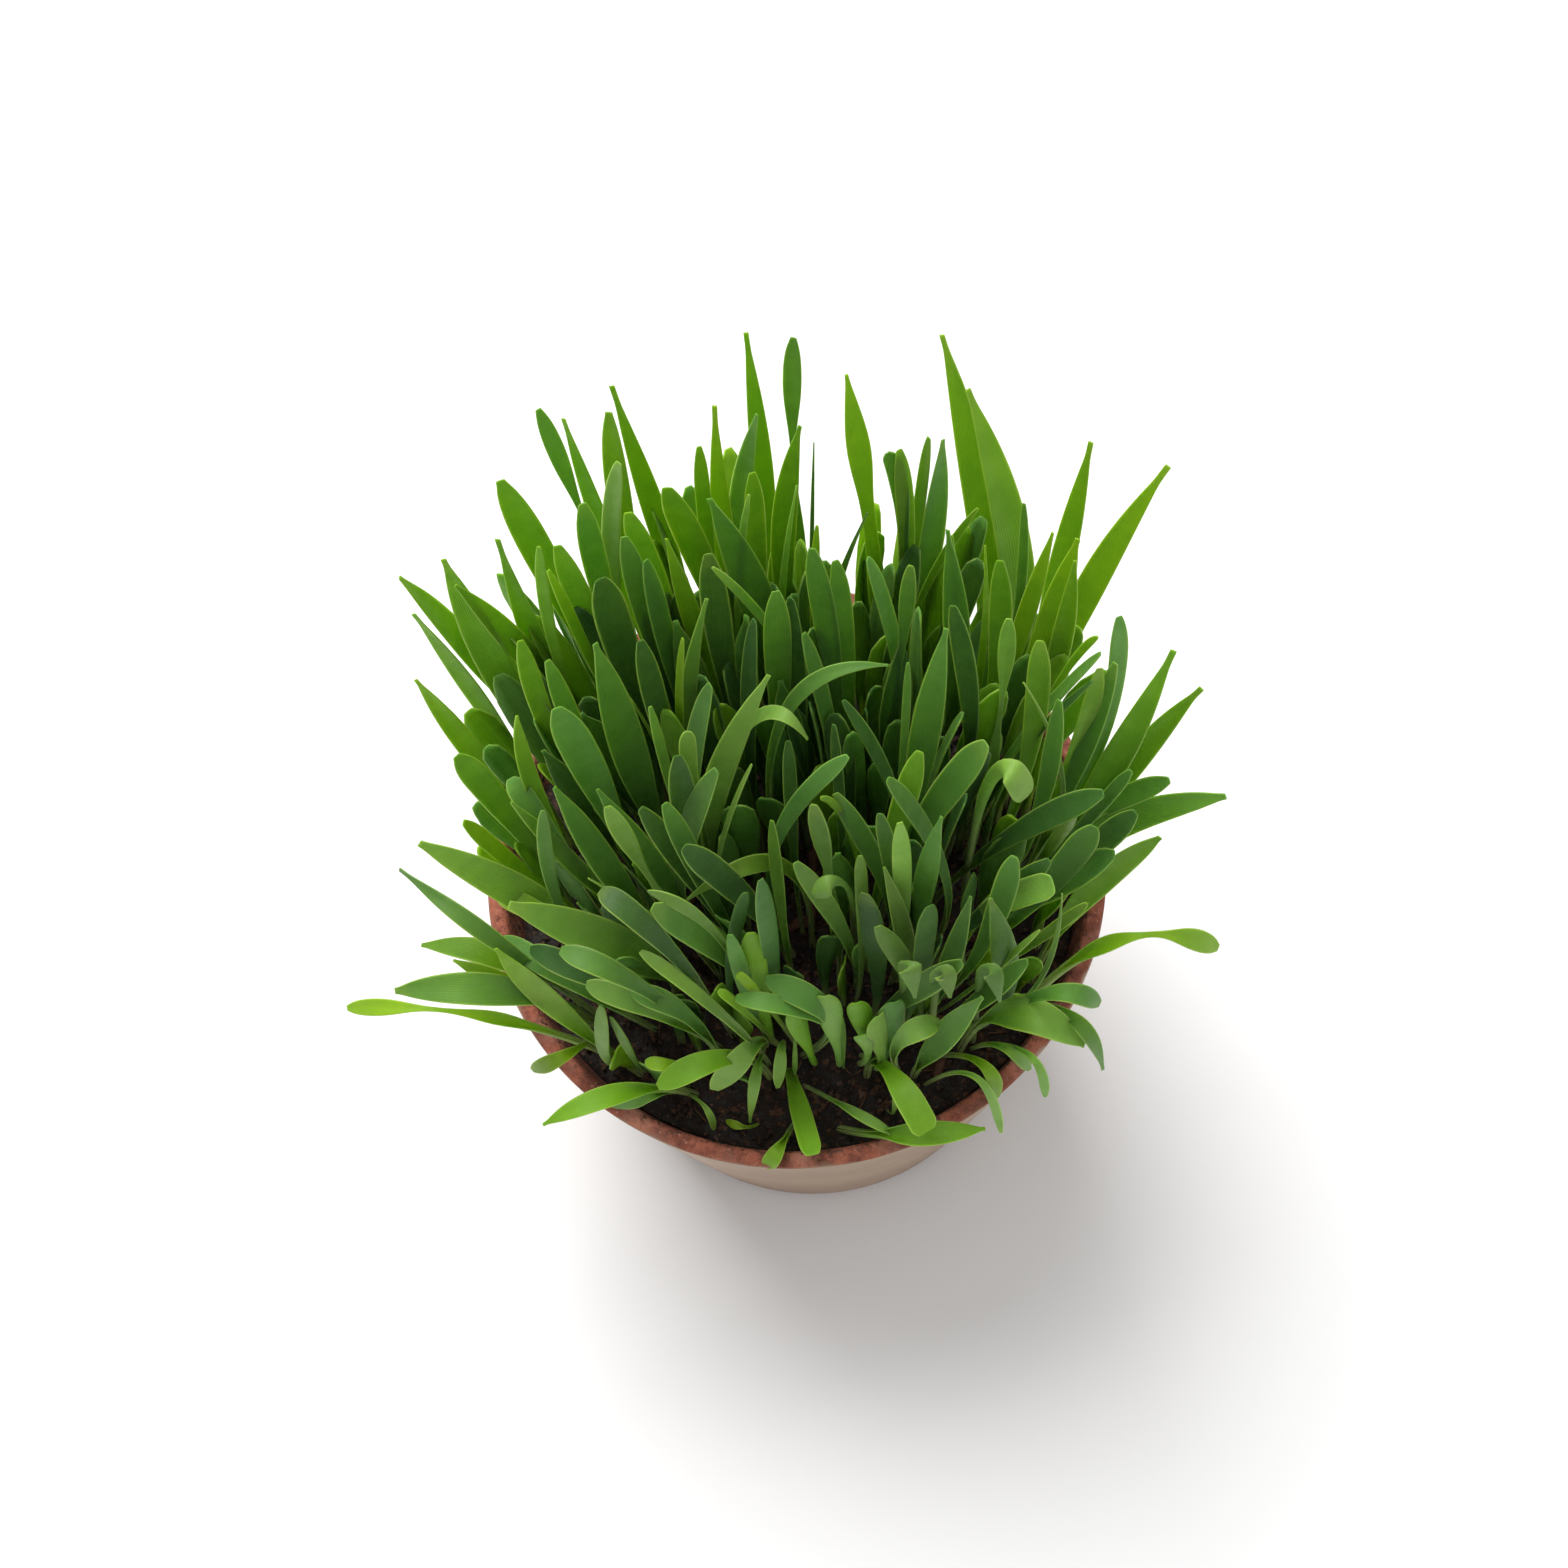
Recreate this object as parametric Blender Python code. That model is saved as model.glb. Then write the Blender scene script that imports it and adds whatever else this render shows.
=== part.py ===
"""Potted cat grass: a 12 cm clay pot of soil with young oat shoots.

Millimetres in the driving dimensions, metres in the meshes. The origin is the centre of the
pot's flat base, +Z is up and -Y is the front.
"""
import bpy
import bmesh
from math import atan2, cos, hypot, pi, radians, sin
from mathutils import Matrix, Vector

MM = 0.001

# Pot
RIM_RADIUS = 60.0
BASE_RADIUS = 42.0
POT_HEIGHT = 86.0
LIP_WIDTH = 3.4
WALL_AT_FLOOR = 4.6
FLOOR = 6.0
BASE_CHAMFER = 1.4
LIP_ROUND = 0.5
POT_SIDES = 64
DRAIN_RADIUS = 4.5
DRAIN_RING = 20.0
DRAIN_HOLES = 3
DRAIN_SIDES = 16
FIRST_DRAIN = radians(90)
CLAY_COLOUR = (0.24, 0.075, 0.045)

# Soil
SOIL_BELOW_RIM = 9.0
SOIL_LUMP = 0.9
SOIL_RINGS = 8
SOIL_LEVEL_EDGE = 0.8
SOIL_COLOUR = (0.012, 0.008, 0.006)
CLEARANCE = 0.35
FOOT_GAP = 0.6
# Waves of the soil's top: radians per millimetre along x and along y, start, share of a lump
SOIL_WAVES = [(0.31, 0.27, 0.6, 0.4), (0.31, -0.27, 0.4, 0.35), (0.17, -0.23, 0.0, 0.25)]

# Shoots
SHEATH_WIDTH = 2.3
SHEATH_DEPTH = 1.9
BLADE_DEPTH = 0.75
SHEATH_END = 0.22
BLADE_FULL = 0.55
THIN_FROM = 0.15
THIN_AT = 0.45
TIP_START = 0.62
TIP_WIDTH = 0.22
FOLD = 0.16
STATIONS = 11
SECTION_SIDES = 6
DROOP_SHARE = 0.86
GREENS = {
    "left": (0.10, 0.26, 0.05),
    "back": (0.16, 0.34, 0.04),
    "right": (0.18, 0.38, 0.04),
    "middle": (0.14, 0.33, 0.08),
    "front": (0.22, 0.40, 0.10),
}

# Meshes
MERGE_DISTANCE = 0.001
SHARP_ANGLE = radians(35)

# Each shoot: foot on the soil (x, y), a point part way up and the tip (x, y and height above
# the soil), then the blade's width. All are millimetres from the pot's axis.
SHOOTS = {
    "left": [
        ((-38, 18), (-49, 25, 72), (-52, 29, 100), 6.5),
        ((-42, 13), (-55, 24, 66), (-59, 24, 91), 3.6),
        ((-43, 5), (-56, 12, 65), (-60, 13, 88), 4.2),
        ((-28, 33), (-38, 39, 84), (-41, 42, 101), 6.0),
        ((-33, 25), (-42, 31, 78), (-43, 34, 95), 4.8),
        ((-29, -3), (-34, 0, 78), (-36, 1, 95), 6.6),
        ((-42, -5), (-52, 1, 65), (-55, 1, 81), 5.2),
        ((-38, -14), (-54, -12, 56), (-64, -10, 71), 6.8),
        ((-22, 3), (-27, 6, 76), (-28, 9, 101), 7.2),
    ],
    "back": [
        ((-23, 39), (-31, 50, 89), (-33, 53, 104), 3.4),
        ((-17, 33), (-22, 46, 80), (-21, 50, 105), 4.6),
        ((-11, 41), (-18, 51, 86), (-20, 55, 105), 4.6),
        ((-2, 37), (-4, 46, 88), (-3, 49, 104), 4.2),
        ((2, 45), (4, 57, 84), (4, 60, 108), 4.2),
        ((10, 42), (10, 55, 80), (12, 59, 106), 3.6),
        ((6, 33), (8, 43, 84), (11, 44, 102), 4.8),
        ((21, 34), (21, 44, 86), (20, 51, 105), 5.4),
        ((-2, 23), (-2, 31, 80), (-6, 33, 101), 7.2),
        ((-14, 17), (-20, 25, 82), (-21, 27, 103), 4.8),
    ],
    "right": [
        ((34, 34), (42, 38, 70), (37, 55, 107), 6.4),
        ((37, 25), (46, 31, 74), (40, 45, 105), 6.8),
        ((23, 29), (27, 36, 87), (25, 37, 101), 3.6),
        ((44, 21), (58, 34, 80), (60, 36, 97), 4.8),
        ((46, 13), (64, 29, 70), (73, 32, 92), 5.6),
        ((40, 8), (52, 17, 76), (55, 19, 95), 6.0),
        ((28, 17), (34, 18, 79), (33, 21, 101), 5.2),
        ((33, -1), (40, 3, 72), (41, 5, 97), 3.2),
        ((40, -8), (54, -6, 68), (58, -3, 91), 4.0),
        ((46, -2), (63, -3, 64), (69, 1, 84), 5.6),
        ((47, -11), (65, -4, 55), (73, -5, 80), 5.0),
        ((44, -21), (64, -14, 49), (76, -19, 64), 6.2),
        ((41, -27), (58, -22, 46), (64, -23, 59), 5.4),
    ],
    "middle": [
        ((0, 8), (2, 13, 80), (3, 14, 101), 5.2),
        ((11, 14), (11, 18, 81), (10, 20, 103), 4.6),
        ((20, -4), (26, -2, 74), (30, 2, 103), 5.6),
        ((-13, -8), (-7, -4, 85), (0, -2, 103), 5.2),
        ((-3, 1), (6, 0, 92), (20, 0, 96), 2.8),
        ((-2, -15), (5, -15, 85), (11, -17, 100), 3.2),
        ((16, -22), (18, -28, 74), (18, -27, 93), 3.6),
        ((23, -18), (23, -27, 76), (25, -27, 93), 4.2),
        ((-8, -25), (-6, -33, 67), (-6, -31, 86), 4.0),
    ],
    "front": [
        ((-27, -18), (-41, -23, 55), (-50, -22, 67), 8.0),
        ((-42, -22), (-56, -29, 44), (-74, -27, 45), 6.2),
        ((-38, -30), (-62, -30, 36), (-85, -24, 31), 3.4),
        ((-33, -35), (-48, -29, 36), (-54, -26, 57), 5.0),
        ((-14, -24), (-19, -29, 61), (-25, -29, 75), 6.0),
        ((-18, -36), (-25, -36, 42), (-32, -34, 48), 4.4),
        ((-24, -39), (-38, -46, 27), (-52, -49, 24), 4.4),
        ((-10, -38), (-19, -44, 33), (-30, -47, 31), 5.0),
        ((-4, -34), (1, -41, 46), (-8, -36, 50), 5.0),
        ((-5, -42), (-5, -51, 12), (-4, -59, 15), 4.2),
        ((1, -49), (13, -58, 17), (28, -59, 17), 4.8),
        ((8, -40), (12, -49, 27), (17, -61, 27), 5.6),
        ((17, -41), (23, -47, 40), (29, -47, 57), 5.2),
        ((26, -38), (37, -45, 38), (47, -51, 34), 7.0),
        ((30, -24), (38, -31, 62), (43, -34, 73), 5.0),
        ((38, -32), (58, -36, 46), (74, -36, 33), 4.2),
    ],
}


def material(name, colour, roughness):
    """A plain Principled material of one colour."""
    made = bpy.data.materials.new(name)
    made.use_nodes = True
    shader = made.node_tree.nodes["Principled BSDF"]
    shader.inputs["Base Color"].default_value = (*colour, 1.0)
    shader.inputs["Roughness"].default_value = roughness
    shader.inputs["Metallic"].default_value = 0.0
    return made


def finish(bm, name, finish_material, smooth=True):
    """Turn a bmesh into a named object with its own material."""
    bmesh.ops.recalc_face_normals(bm, faces=bm.faces)
    if bm.calc_volume(signed=True) < 0:
        bmesh.ops.reverse_faces(bm, faces=bm.faces)
    mesh = bpy.data.meshes.new(name)
    bm.to_mesh(mesh)
    bm.free()
    mesh.materials.append(finish_material)
    if smooth:
        mesh.shade_smooth()
        mesh.set_sharp_from_angle(angle=SHARP_ANGLE)
    thing = bpy.data.objects.new(name, mesh)
    bpy.context.scene.collection.objects.link(thing)
    return thing


def spun(outline):
    """Turn an outline of (radius, height) points, from axis to axis, about the Z axis."""
    bm = bmesh.new()
    points = [bm.verts.new((r * MM, 0.0, z * MM)) for r, z in outline]
    for a, b in zip(points, points[1:]):
        bm.edges.new((a, b))
    bmesh.ops.spin(bm, geom=bm.verts[:] + bm.edges[:], axis=(0, 0, 1), cent=(0, 0, 0),
                   angle=2 * pi, steps=POT_SIDES, use_merge=True)
    bmesh.ops.remove_doubles(bm, verts=bm.verts, dist=MERGE_DISTANCE * MM)
    return bm


def outer_radius(height):
    """The pot's outside radius at a height above its base."""
    return BASE_RADIUS + (RIM_RADIUS - BASE_RADIUS) * height / POT_HEIGHT


def inner_radius(height):
    """The pot's inside radius: the wall thins from the floor up to the lip."""
    share = (height - FLOOR) / (POT_HEIGHT - FLOOR)
    wall = WALL_AT_FLOOR + (LIP_WIDTH - WALL_AT_FLOOR) * share
    return outer_radius(height) - wall


def make_pot():
    """A turned, tapered clay pot with a flat lip and a flat base with drain holes."""
    top = POT_HEIGHT
    outline = [
        (0.0, 0.0),
        (BASE_RADIUS - BASE_CHAMFER, 0.0),
        (outer_radius(BASE_CHAMFER), BASE_CHAMFER),
        (outer_radius(top - LIP_ROUND), top - LIP_ROUND),
        (RIM_RADIUS - LIP_ROUND, top),
        (inner_radius(top) + LIP_ROUND, top),
        (inner_radius(top - LIP_ROUND), top - LIP_ROUND),
        (inner_radius(top - SOIL_BELOW_RIM), top - SOIL_BELOW_RIM),
        (inner_radius(FLOOR), FLOOR),
        (0.0, FLOOR),
    ]
    clay = material("clay", CLAY_COLOUR, 0.85)
    pot = finish(spun(outline), "pot", clay)
    for k in range(DRAIN_HOLES):
        turn = FIRST_DRAIN + 2 * pi * k / DRAIN_HOLES
        bm = bmesh.new()
        place = Matrix.Translation((DRAIN_RING * cos(turn) * MM, DRAIN_RING * sin(turn) * MM,
                                    FLOOR / 2 * MM))
        bmesh.ops.create_cone(bm, cap_ends=True, segments=DRAIN_SIDES,
                              radius1=DRAIN_RADIUS * MM, radius2=DRAIN_RADIUS * MM,
                              depth=FLOOR * 3 * MM, matrix=place)
        drill = finish(bm, f"drain_drill_{k + 1}", clay, smooth=False)
        drill.hide_render = True
        drill.display_type = "WIRE"
        cut = pot.modifiers.new(f"drain_{k + 1}", "BOOLEAN")
        cut.operation = "DIFFERENCE"
        cut.solver = "EXACT"
        cut.object = drill
    return pot


def smooth_step(low, high, value):
    """0 below low, 1 above high, and a soft S between."""
    share = min(1.0, max(0.0, (value - low) / (high - low)))
    return share * share * (3 - 2 * share)


def soil_height(x, y):
    """Height of the soil's lumpy top above the pot's base, at a point in millimetres."""
    level = POT_HEIGHT - SOIL_BELOW_RIM
    lumps = sum(part * sin(x * per_x + y * per_y + start)
                for per_x, per_y, start, part in SOIL_WAVES)
    flatten = 1 - smooth_step(SOIL_LEVEL_EDGE, 1.0, hypot(x, y) / inner_radius(level))
    return level + SOIL_LUMP * flatten * lumps


def make_soil():
    """A plug of soil that fills the pot from its floor to just under the lip."""
    low = FLOOR + CLEARANCE
    high = POT_HEIGHT - SOIL_BELOW_RIM
    edge = inner_radius(high) - CLEARANCE
    top = [(edge * k / SOIL_RINGS, high) for k in range(SOIL_RINGS + 1)]
    side = [(inner_radius(low) - CLEARANCE, low), (0.0, low)]
    bm = spun(top + side)
    for vert in bm.verts:
        if vert.co.z > (high - CLEARANCE) * MM:
            vert.co.z = soil_height(vert.co.x / MM, vert.co.y / MM) * MM
    return finish(bm, "soil", material("soil", SOIL_COLOUR, 0.95))


def foot_height(x, y):
    """Height of a shoot's foot: just clear of the highest soil under it."""
    reach = SHEATH_WIDTH
    around = [(0, 0), (reach, 0), (-reach, 0), (0, reach), (0, -reach)]
    return max(soil_height(x + dx, y + dy) for dx, dy in around) + FOOT_GAP


def spine(foot, middle, tip):
    """A curve from the foot through the middle to the tip, as point and direction at 0 to 1.

    An upright shoot passes its middle point at that point's share of the height. One that
    arches over, whose middle is about as high as its tip, passes it between half way and the
    middle's share of the straight distances.
    """
    height_share = (middle.z - foot.z) / (tip.z - foot.z)
    lower, upper = (middle - foot).length, (tip - middle).length
    arched = (0.5 + lower / (lower + upper)) / 2
    past = height_share if height_share < DROOP_SHARE else arched
    left = 1 - past
    bow = (middle - foot * left * left - tip * past * past) / (2 * past * left)

    def at(share):
        rest = 1 - share
        point = foot * rest * rest + bow * 2 * share * rest + tip * share * share
        ahead = (bow - foot) * rest + (tip - bow) * share
        return point, ahead.normalized()
    return at


def section(share, width):
    """Width and depth of a shoot at a share of its length: round sheath, flat blade, fine tip."""
    open_out = smooth_step(SHEATH_END, BLADE_FULL, share)
    wide = SHEATH_WIDTH + (width - SHEATH_WIDTH) * open_out
    deep = SHEATH_DEPTH + (BLADE_DEPTH - SHEATH_DEPTH) * smooth_step(THIN_FROM, THIN_AT, share)
    if share > TIP_START:
        near = (share - TIP_START) / (1 - TIP_START)
        wide *= TIP_WIDTH + (1 - TIP_WIDTH) * (1 - near * near)
    return wide, deep


def make_shoot(name, foot, middle, tip, width, green):
    """One shoot: a round pale sheath that opens into a flat, lightly folded blade."""
    level = POT_HEIGHT - SOIL_BELOW_RIM
    start = Vector((foot[0], foot[1], foot_height(*foot)))
    middle = Vector(middle) + Vector((0, 0, level))
    tip = Vector(tip) + Vector((0, 0, level))
    first = spine(start, middle, tip)(0)[1]
    start.z += SHEATH_WIDTH / 2 * hypot(first.x, first.y)
    at = spine(start, middle, tip)
    lean = atan2(tip.y - foot[1], tip.x - foot[0])
    across = Vector((-sin(lean), cos(lean), 0.0))
    bm = bmesh.new()
    bmesh.ops.create_circle(bm, cap_ends=True, segments=SECTION_SIDES, radius=1.0)
    end = bm.faces[:][0]
    for k in range(STATIONS + 1):
        share = k / STATIONS
        point, ahead = at(share)
        side = (across - ahead * across.dot(ahead)).normalized()
        out = side.cross(ahead)
        wide, deep = section(share, width)
        if k:
            grown = bmesh.ops.extrude_face_region(bm, geom=[end])["geom"]
            if k > 1:
                bmesh.ops.delete(bm, geom=[end], context="FACES_ONLY")
            end = next(item for item in grown if isinstance(item, bmesh.types.BMFace))
        for j, vert in enumerate(end.verts):
            turn = 2 * pi * j / SECTION_SIDES
            lift = FOLD * wide * abs(cos(turn)) * smooth_step(SHEATH_END, BLADE_FULL, share)
            vert.co = (point + side * (wide / 2 * cos(turn))
                       + out * (deep / 2 * sin(turn) + lift)) * MM
    return finish(bm, name, green)


def main():
    """Clear the scene and build the pot, its soil and every shoot."""
    for thing in list(bpy.data.objects):
        bpy.data.objects.remove(thing, do_unlink=True)
    make_pot()
    make_soil()
    for place, shoots in SHOOTS.items():
        for k, (foot, middle, tip, width) in enumerate(shoots, start=1):
            name = f"shoot_{place}_{k:02d}"
            make_shoot(name, foot, middle, tip, width, material(name, GREENS[place], 0.5))


main()
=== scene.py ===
# %% [markdown]
# # A pot of cat grass
# Oat seedlings in a 12 cm clay pot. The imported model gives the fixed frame: the pot, the soil
# and 57 plain shoots. These cells give them their real look and add the shoots in between.

# %% Load the fixed frame
import random
from collections import namedtuple
from math import atan2, ceil, cos, hypot, pi, radians, sin, sqrt

import bmesh
import bpy
from mathutils import Matrix, Vector, noise


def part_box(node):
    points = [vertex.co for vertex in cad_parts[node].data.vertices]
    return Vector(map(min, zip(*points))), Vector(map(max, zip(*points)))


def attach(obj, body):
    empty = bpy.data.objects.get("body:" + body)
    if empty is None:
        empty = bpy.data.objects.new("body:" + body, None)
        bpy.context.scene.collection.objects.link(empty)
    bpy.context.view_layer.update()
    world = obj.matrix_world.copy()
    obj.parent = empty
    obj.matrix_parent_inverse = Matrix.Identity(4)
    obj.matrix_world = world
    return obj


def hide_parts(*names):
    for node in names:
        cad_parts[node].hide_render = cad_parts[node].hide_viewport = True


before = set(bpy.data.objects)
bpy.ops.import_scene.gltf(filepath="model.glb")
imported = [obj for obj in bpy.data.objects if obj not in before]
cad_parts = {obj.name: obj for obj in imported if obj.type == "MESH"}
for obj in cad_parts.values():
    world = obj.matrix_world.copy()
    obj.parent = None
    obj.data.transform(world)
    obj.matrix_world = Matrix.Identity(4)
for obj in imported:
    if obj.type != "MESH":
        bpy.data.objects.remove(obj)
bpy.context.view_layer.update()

MM = 0.001
scene = bpy.context.scene
print("nodes in the frame:", len(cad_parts))

# %% [markdown]
# ## Sizes that everything shares
# The pot's own box gives the rim and the height, so the looks can't drift away from the solid
# parts. The other sizes are the solid model's.

# %% Read the driving sizes from the frame
pot_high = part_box("pot")[1]
RIM_RADIUS = pot_high.x
POT_HEIGHT = pot_high.z
BASE_RADIUS = 42 * MM
LIP_WIDTH = 3.4 * MM
WALL_AT_FLOOR = 4.6 * MM
FLOOR = 6 * MM
SOIL_LEVEL = POT_HEIGHT - 9 * MM
SOIL_RADIUS = 54.2 * MM
print("rim radius", round(RIM_RADIUS, 4), "height", round(POT_HEIGHT, 4))

# %% [markdown]
# ## The camera
# The photo looks down on the pot from about 67 degrees above the table, slightly rolled. The
# distance and the lens were fitted to the rim's ellipse and the pot's outline. A pixel of the
# 1568 px photo and a height above the rim then give a point, which places many shoots below.

# %% Put the camera where the photo was taken
PHOTO_SIDE = 1568
FOCAL_PIXELS = 3074
CAMERA_DISTANCE = 600 * MM
CAMERA_ELEVATION = radians(67.4)
CAMERA_ROLL = radians(-7.8)
CAMERA_TARGET = Vector((0, 17.5 * MM, POT_HEIGHT))

back = Vector((0, -cos(CAMERA_ELEVATION), sin(CAMERA_ELEVATION)))
eye = CAMERA_TARGET + back * CAMERA_DISTANCE
level_up = Vector((1, 0, 0)).cross(-back)
eye_right = Vector((1, 0, 0)) * cos(CAMERA_ROLL) + level_up * sin(CAMERA_ROLL)
eye_up = level_up * cos(CAMERA_ROLL) - Vector((1, 0, 0)) * sin(CAMERA_ROLL)

camera_data = bpy.data.cameras.new("camera")
camera_data.sensor_width = 36
camera_data.lens = FOCAL_PIXELS / PHOTO_SIDE * camera_data.sensor_width
camera_data.clip_start = 0.05
camera = bpy.data.objects.new("camera", camera_data)
turned = Matrix((eye_right, eye_up, back)).transposed().to_4x4()
camera.matrix_world = Matrix.Translation(eye) @ turned
scene.collection.objects.link(camera)
scene.camera = camera


def photo_point(pixel, height):
    """The point under a photo pixel (x, y) at a height in mm above the rim's plane."""
    half = PHOTO_SIDE / 2
    ray = eye_right * (pixel[0] - half) - eye_up * (pixel[1] - half) - back * FOCAL_PIXELS
    return eye + ray * ((POT_HEIGHT + height * MM - eye.z) / ray.z)


RIM_CENTRE_PIXEL = (795.4, 866.9)
print("lens", round(camera_data.lens, 1), "rim centre at", photo_point(RIM_CENTRE_PIXEL, 0))

# %% [markdown]
# ## Floor and light
# A pale plain floor and soft light stand in for the photo's cut-out white. A large lamp behind
# and above makes the far blades glow yellow green, and a weak one fills the front.

# %% Make the floor and the lamps
FLOOR_SIDE = 6.0
PALE_TABLE = (0.86, 0.86, 0.86, 1)
SKY_STRENGTH = 0.55


def placed(bm, name):
    """Turn a bmesh into a named object in the scene."""
    mesh = bpy.data.meshes.new(name)
    bm.to_mesh(mesh)
    bm.free()
    thing = bpy.data.objects.new(name, mesh)
    scene.collection.objects.link(thing)
    return thing


def soft_lamp(name, place, side, power):
    """A square area lamp at a place, turned to the plant."""
    data = bpy.data.lights.new(name, "AREA")
    data.size = side
    data.energy = power
    lamp = bpy.data.objects.new(name, data)
    aim = CAMERA_TARGET - Vector(place)
    lamp.location = place
    lamp.rotation_mode = "QUATERNION"
    lamp.rotation_quaternion = aim.to_track_quat("-Z", "Y")
    scene.collection.objects.link(lamp)


bm = bmesh.new()
bmesh.ops.create_grid(bm, x_segments=1, y_segments=1, size=FLOOR_SIDE / 2)
table_top = placed(bm, "table_top")
pale_table = bpy.data.materials.new("pale_table")
pale_table.use_nodes = True
shader = pale_table.node_tree.nodes["Principled BSDF"]
shader.inputs["Base Color"].default_value = PALE_TABLE
shader.inputs["Roughness"].default_value = 0.9
table_top.data.materials.append(pale_table)

soft_lamp("window_behind", (-0.24, 0.62, 1.3), 0.9, 23)
soft_lamp("front_fill", (0.3, -0.6, 1.4), 1.4, 2.5)
world = bpy.data.worlds.new("studio")
world.use_nodes = True
sky = world.node_tree.nodes["Background"]
sky.inputs["Color"].default_value = (1, 1, 1, 1)
sky.inputs["Strength"].default_value = SKY_STRENGTH
scene.world = world
scene.view_settings.view_transform = "Standard"

# %% [markdown]
# ## Helpers for materials
# These helpers add a node, set its values by name and join sockets, so that a material's recipe
# reads from top to bottom.

# %% Write the node helpers
class Recipe:
    """A material's node tree, with short calls to add and join nodes."""

    def __init__(self, name, roughness):
        self.material = bpy.data.materials.new(name)
        self.material.use_nodes = True
        self.tree = self.material.node_tree
        self.shader = self.tree.nodes["Principled BSDF"]
        self.shader.inputs["Roughness"].default_value = roughness

    def add(self, kind, **values):
        """A node of a kind; values that name one of its inputs are set or linked there."""
        node = self.tree.nodes.new("ShaderNode" + kind)
        for key, value in values.items():
            if hasattr(node, key) and key not in node.inputs:
                setattr(node, key, value)
            else:
                self.feed(node.inputs[key.replace("_", " ")], value)
        return node

    def feed(self, socket, value):
        """Set a socket to a value, or link it if the value is another node's output."""
        if isinstance(value, bpy.types.NodeSocket):
            self.tree.links.new(value, socket)
        else:
            socket.default_value = value

    def fed(self, node, *values):
        """Feed a node's first inputs in their order, and give back its first output."""
        for socket, value in zip(node.inputs, values):
            self.feed(socket, value)
        return node.outputs[0]

    def maths(self, operation, *values):
        """One Math node on up to three values or sockets."""
        return self.fed(self.add("Math", operation=operation), *values)

    def between(self, value, low, high, start=0.0, end=1.0):
        """A soft step of a value from low to high, as start to end."""
        node = self.add("MapRange", interpolation_type="SMOOTHSTEP")
        return self.fed(node, value, low, high, start, end)

    def mix(self, share, first, second, blend="MIX"):
        """Mix two colours by a share."""
        node = self.add("Mix", data_type="RGBA", blend_type=blend)
        self.feed(node.inputs[0], share)
        for socket, value in zip(node.inputs[6:8], (first, second)):
            self.feed(socket, (*value, 1) if isinstance(value, tuple) else value)
        return node.outputs[2]

    def place(self):
        """Object coordinates, which stay with the piece."""
        return self.add("TexCoord").outputs["Object"]

    def noise(self, where, scale, detail=3.0, roughness=0.55):
        """Fractal noise of a scale, in lumps per metre, as a value from 0 to 1."""
        return self.add("TexNoise", Vector=where, Scale=scale, Detail=detail,
                        Roughness=roughness).outputs[0]

    def cells(self, where, scale):
        """Distance to the nearest cell point of a pattern with a scale."""
        return self.add("TexVoronoi", Vector=where, Scale=scale).outputs["Distance"]

    def bump(self, height, strength, depth):
        """Feed a height into the shader's normal."""
        node = self.add("Bump", Height=height, Strength=strength, Distance=depth)
        self.feed(self.shader.inputs["Normal"], node.outputs[0])


def linear(red, green, blue):
    """A colour of 0 to 255 values, as seen on a screen, in linear light."""
    def one(value):
        share = value / 255
        return share / 12.92 if share <= 0.04045 else ((share + 0.055) / 1.055) ** 2.4
    return one(red), one(green), one(blue)


# %% [markdown]
# ## Helpers for pieces
# Each piece is built in a bmesh, then becomes a named object at the origin that rides on the
# model's only body.

# %% Write the piece helpers
def finished(bm, name, material, stands_for=(), smooth=True):
    """Turn a bmesh into a piece: named, shaded, riding on the pot's body."""
    piece = placed(bm, name)
    piece.data.materials.append(material)
    if smooth:
        piece.data.shade_smooth()
    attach(piece, "root")
    if stands_for:
        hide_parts(*stands_for)
    return piece


def spun(outline, steps):
    """Turn an outline of (radius, height), from axis to axis, about the Z axis."""
    bm = bmesh.new()
    points = [bm.verts.new((radius, 0, height)) for radius, height in outline]
    for a, b in zip(points, points[1:]):
        bm.edges.new((a, b))
    bmesh.ops.spin(bm, geom=bm.verts[:] + bm.edges[:], axis=(0, 0, 1), cent=(0, 0, 0),
                   angle=2 * pi, steps=steps, use_merge=True)
    bmesh.ops.remove_doubles(bm, verts=bm.verts, dist=1e-6)
    bmesh.ops.recalc_face_normals(bm, faces=bm.faces)
    if bm.calc_volume(signed=True) < 0:
        bmesh.ops.reverse_faces(bm, faces=bm.faces)
    return bm


def soft_step(low, high, value):
    """0 below low, 1 above high, and a soft S between."""
    share = min(1.0, max(0.0, (value - low) / (high - low)))
    return share * share * (3 - 2 * share)


# %% [markdown]
# ## The pot's clay
# The lip and the inside are raw red clay: matt, mottled, pitted and dusty with soil. The outer
# wall has a smooth pale taupe coat with a few bright grains. Both are on one piece, so one
# material mixes them by height and radius, with a slightly uneven border.

# %% Mix the clay material
RAW_CLAY = linear(160, 90, 68)
RAW_CLAY_DARK = linear(118, 62, 48)
RAW_CLAY_PALE = linear(198, 138, 118)
COAT = linear(162, 134, 107)
COAT_DARK = linear(151, 123, 98)
COAT_GRAIN = linear(246, 240, 232)
SOIL_STAIN = linear(60, 38, 30)


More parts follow.
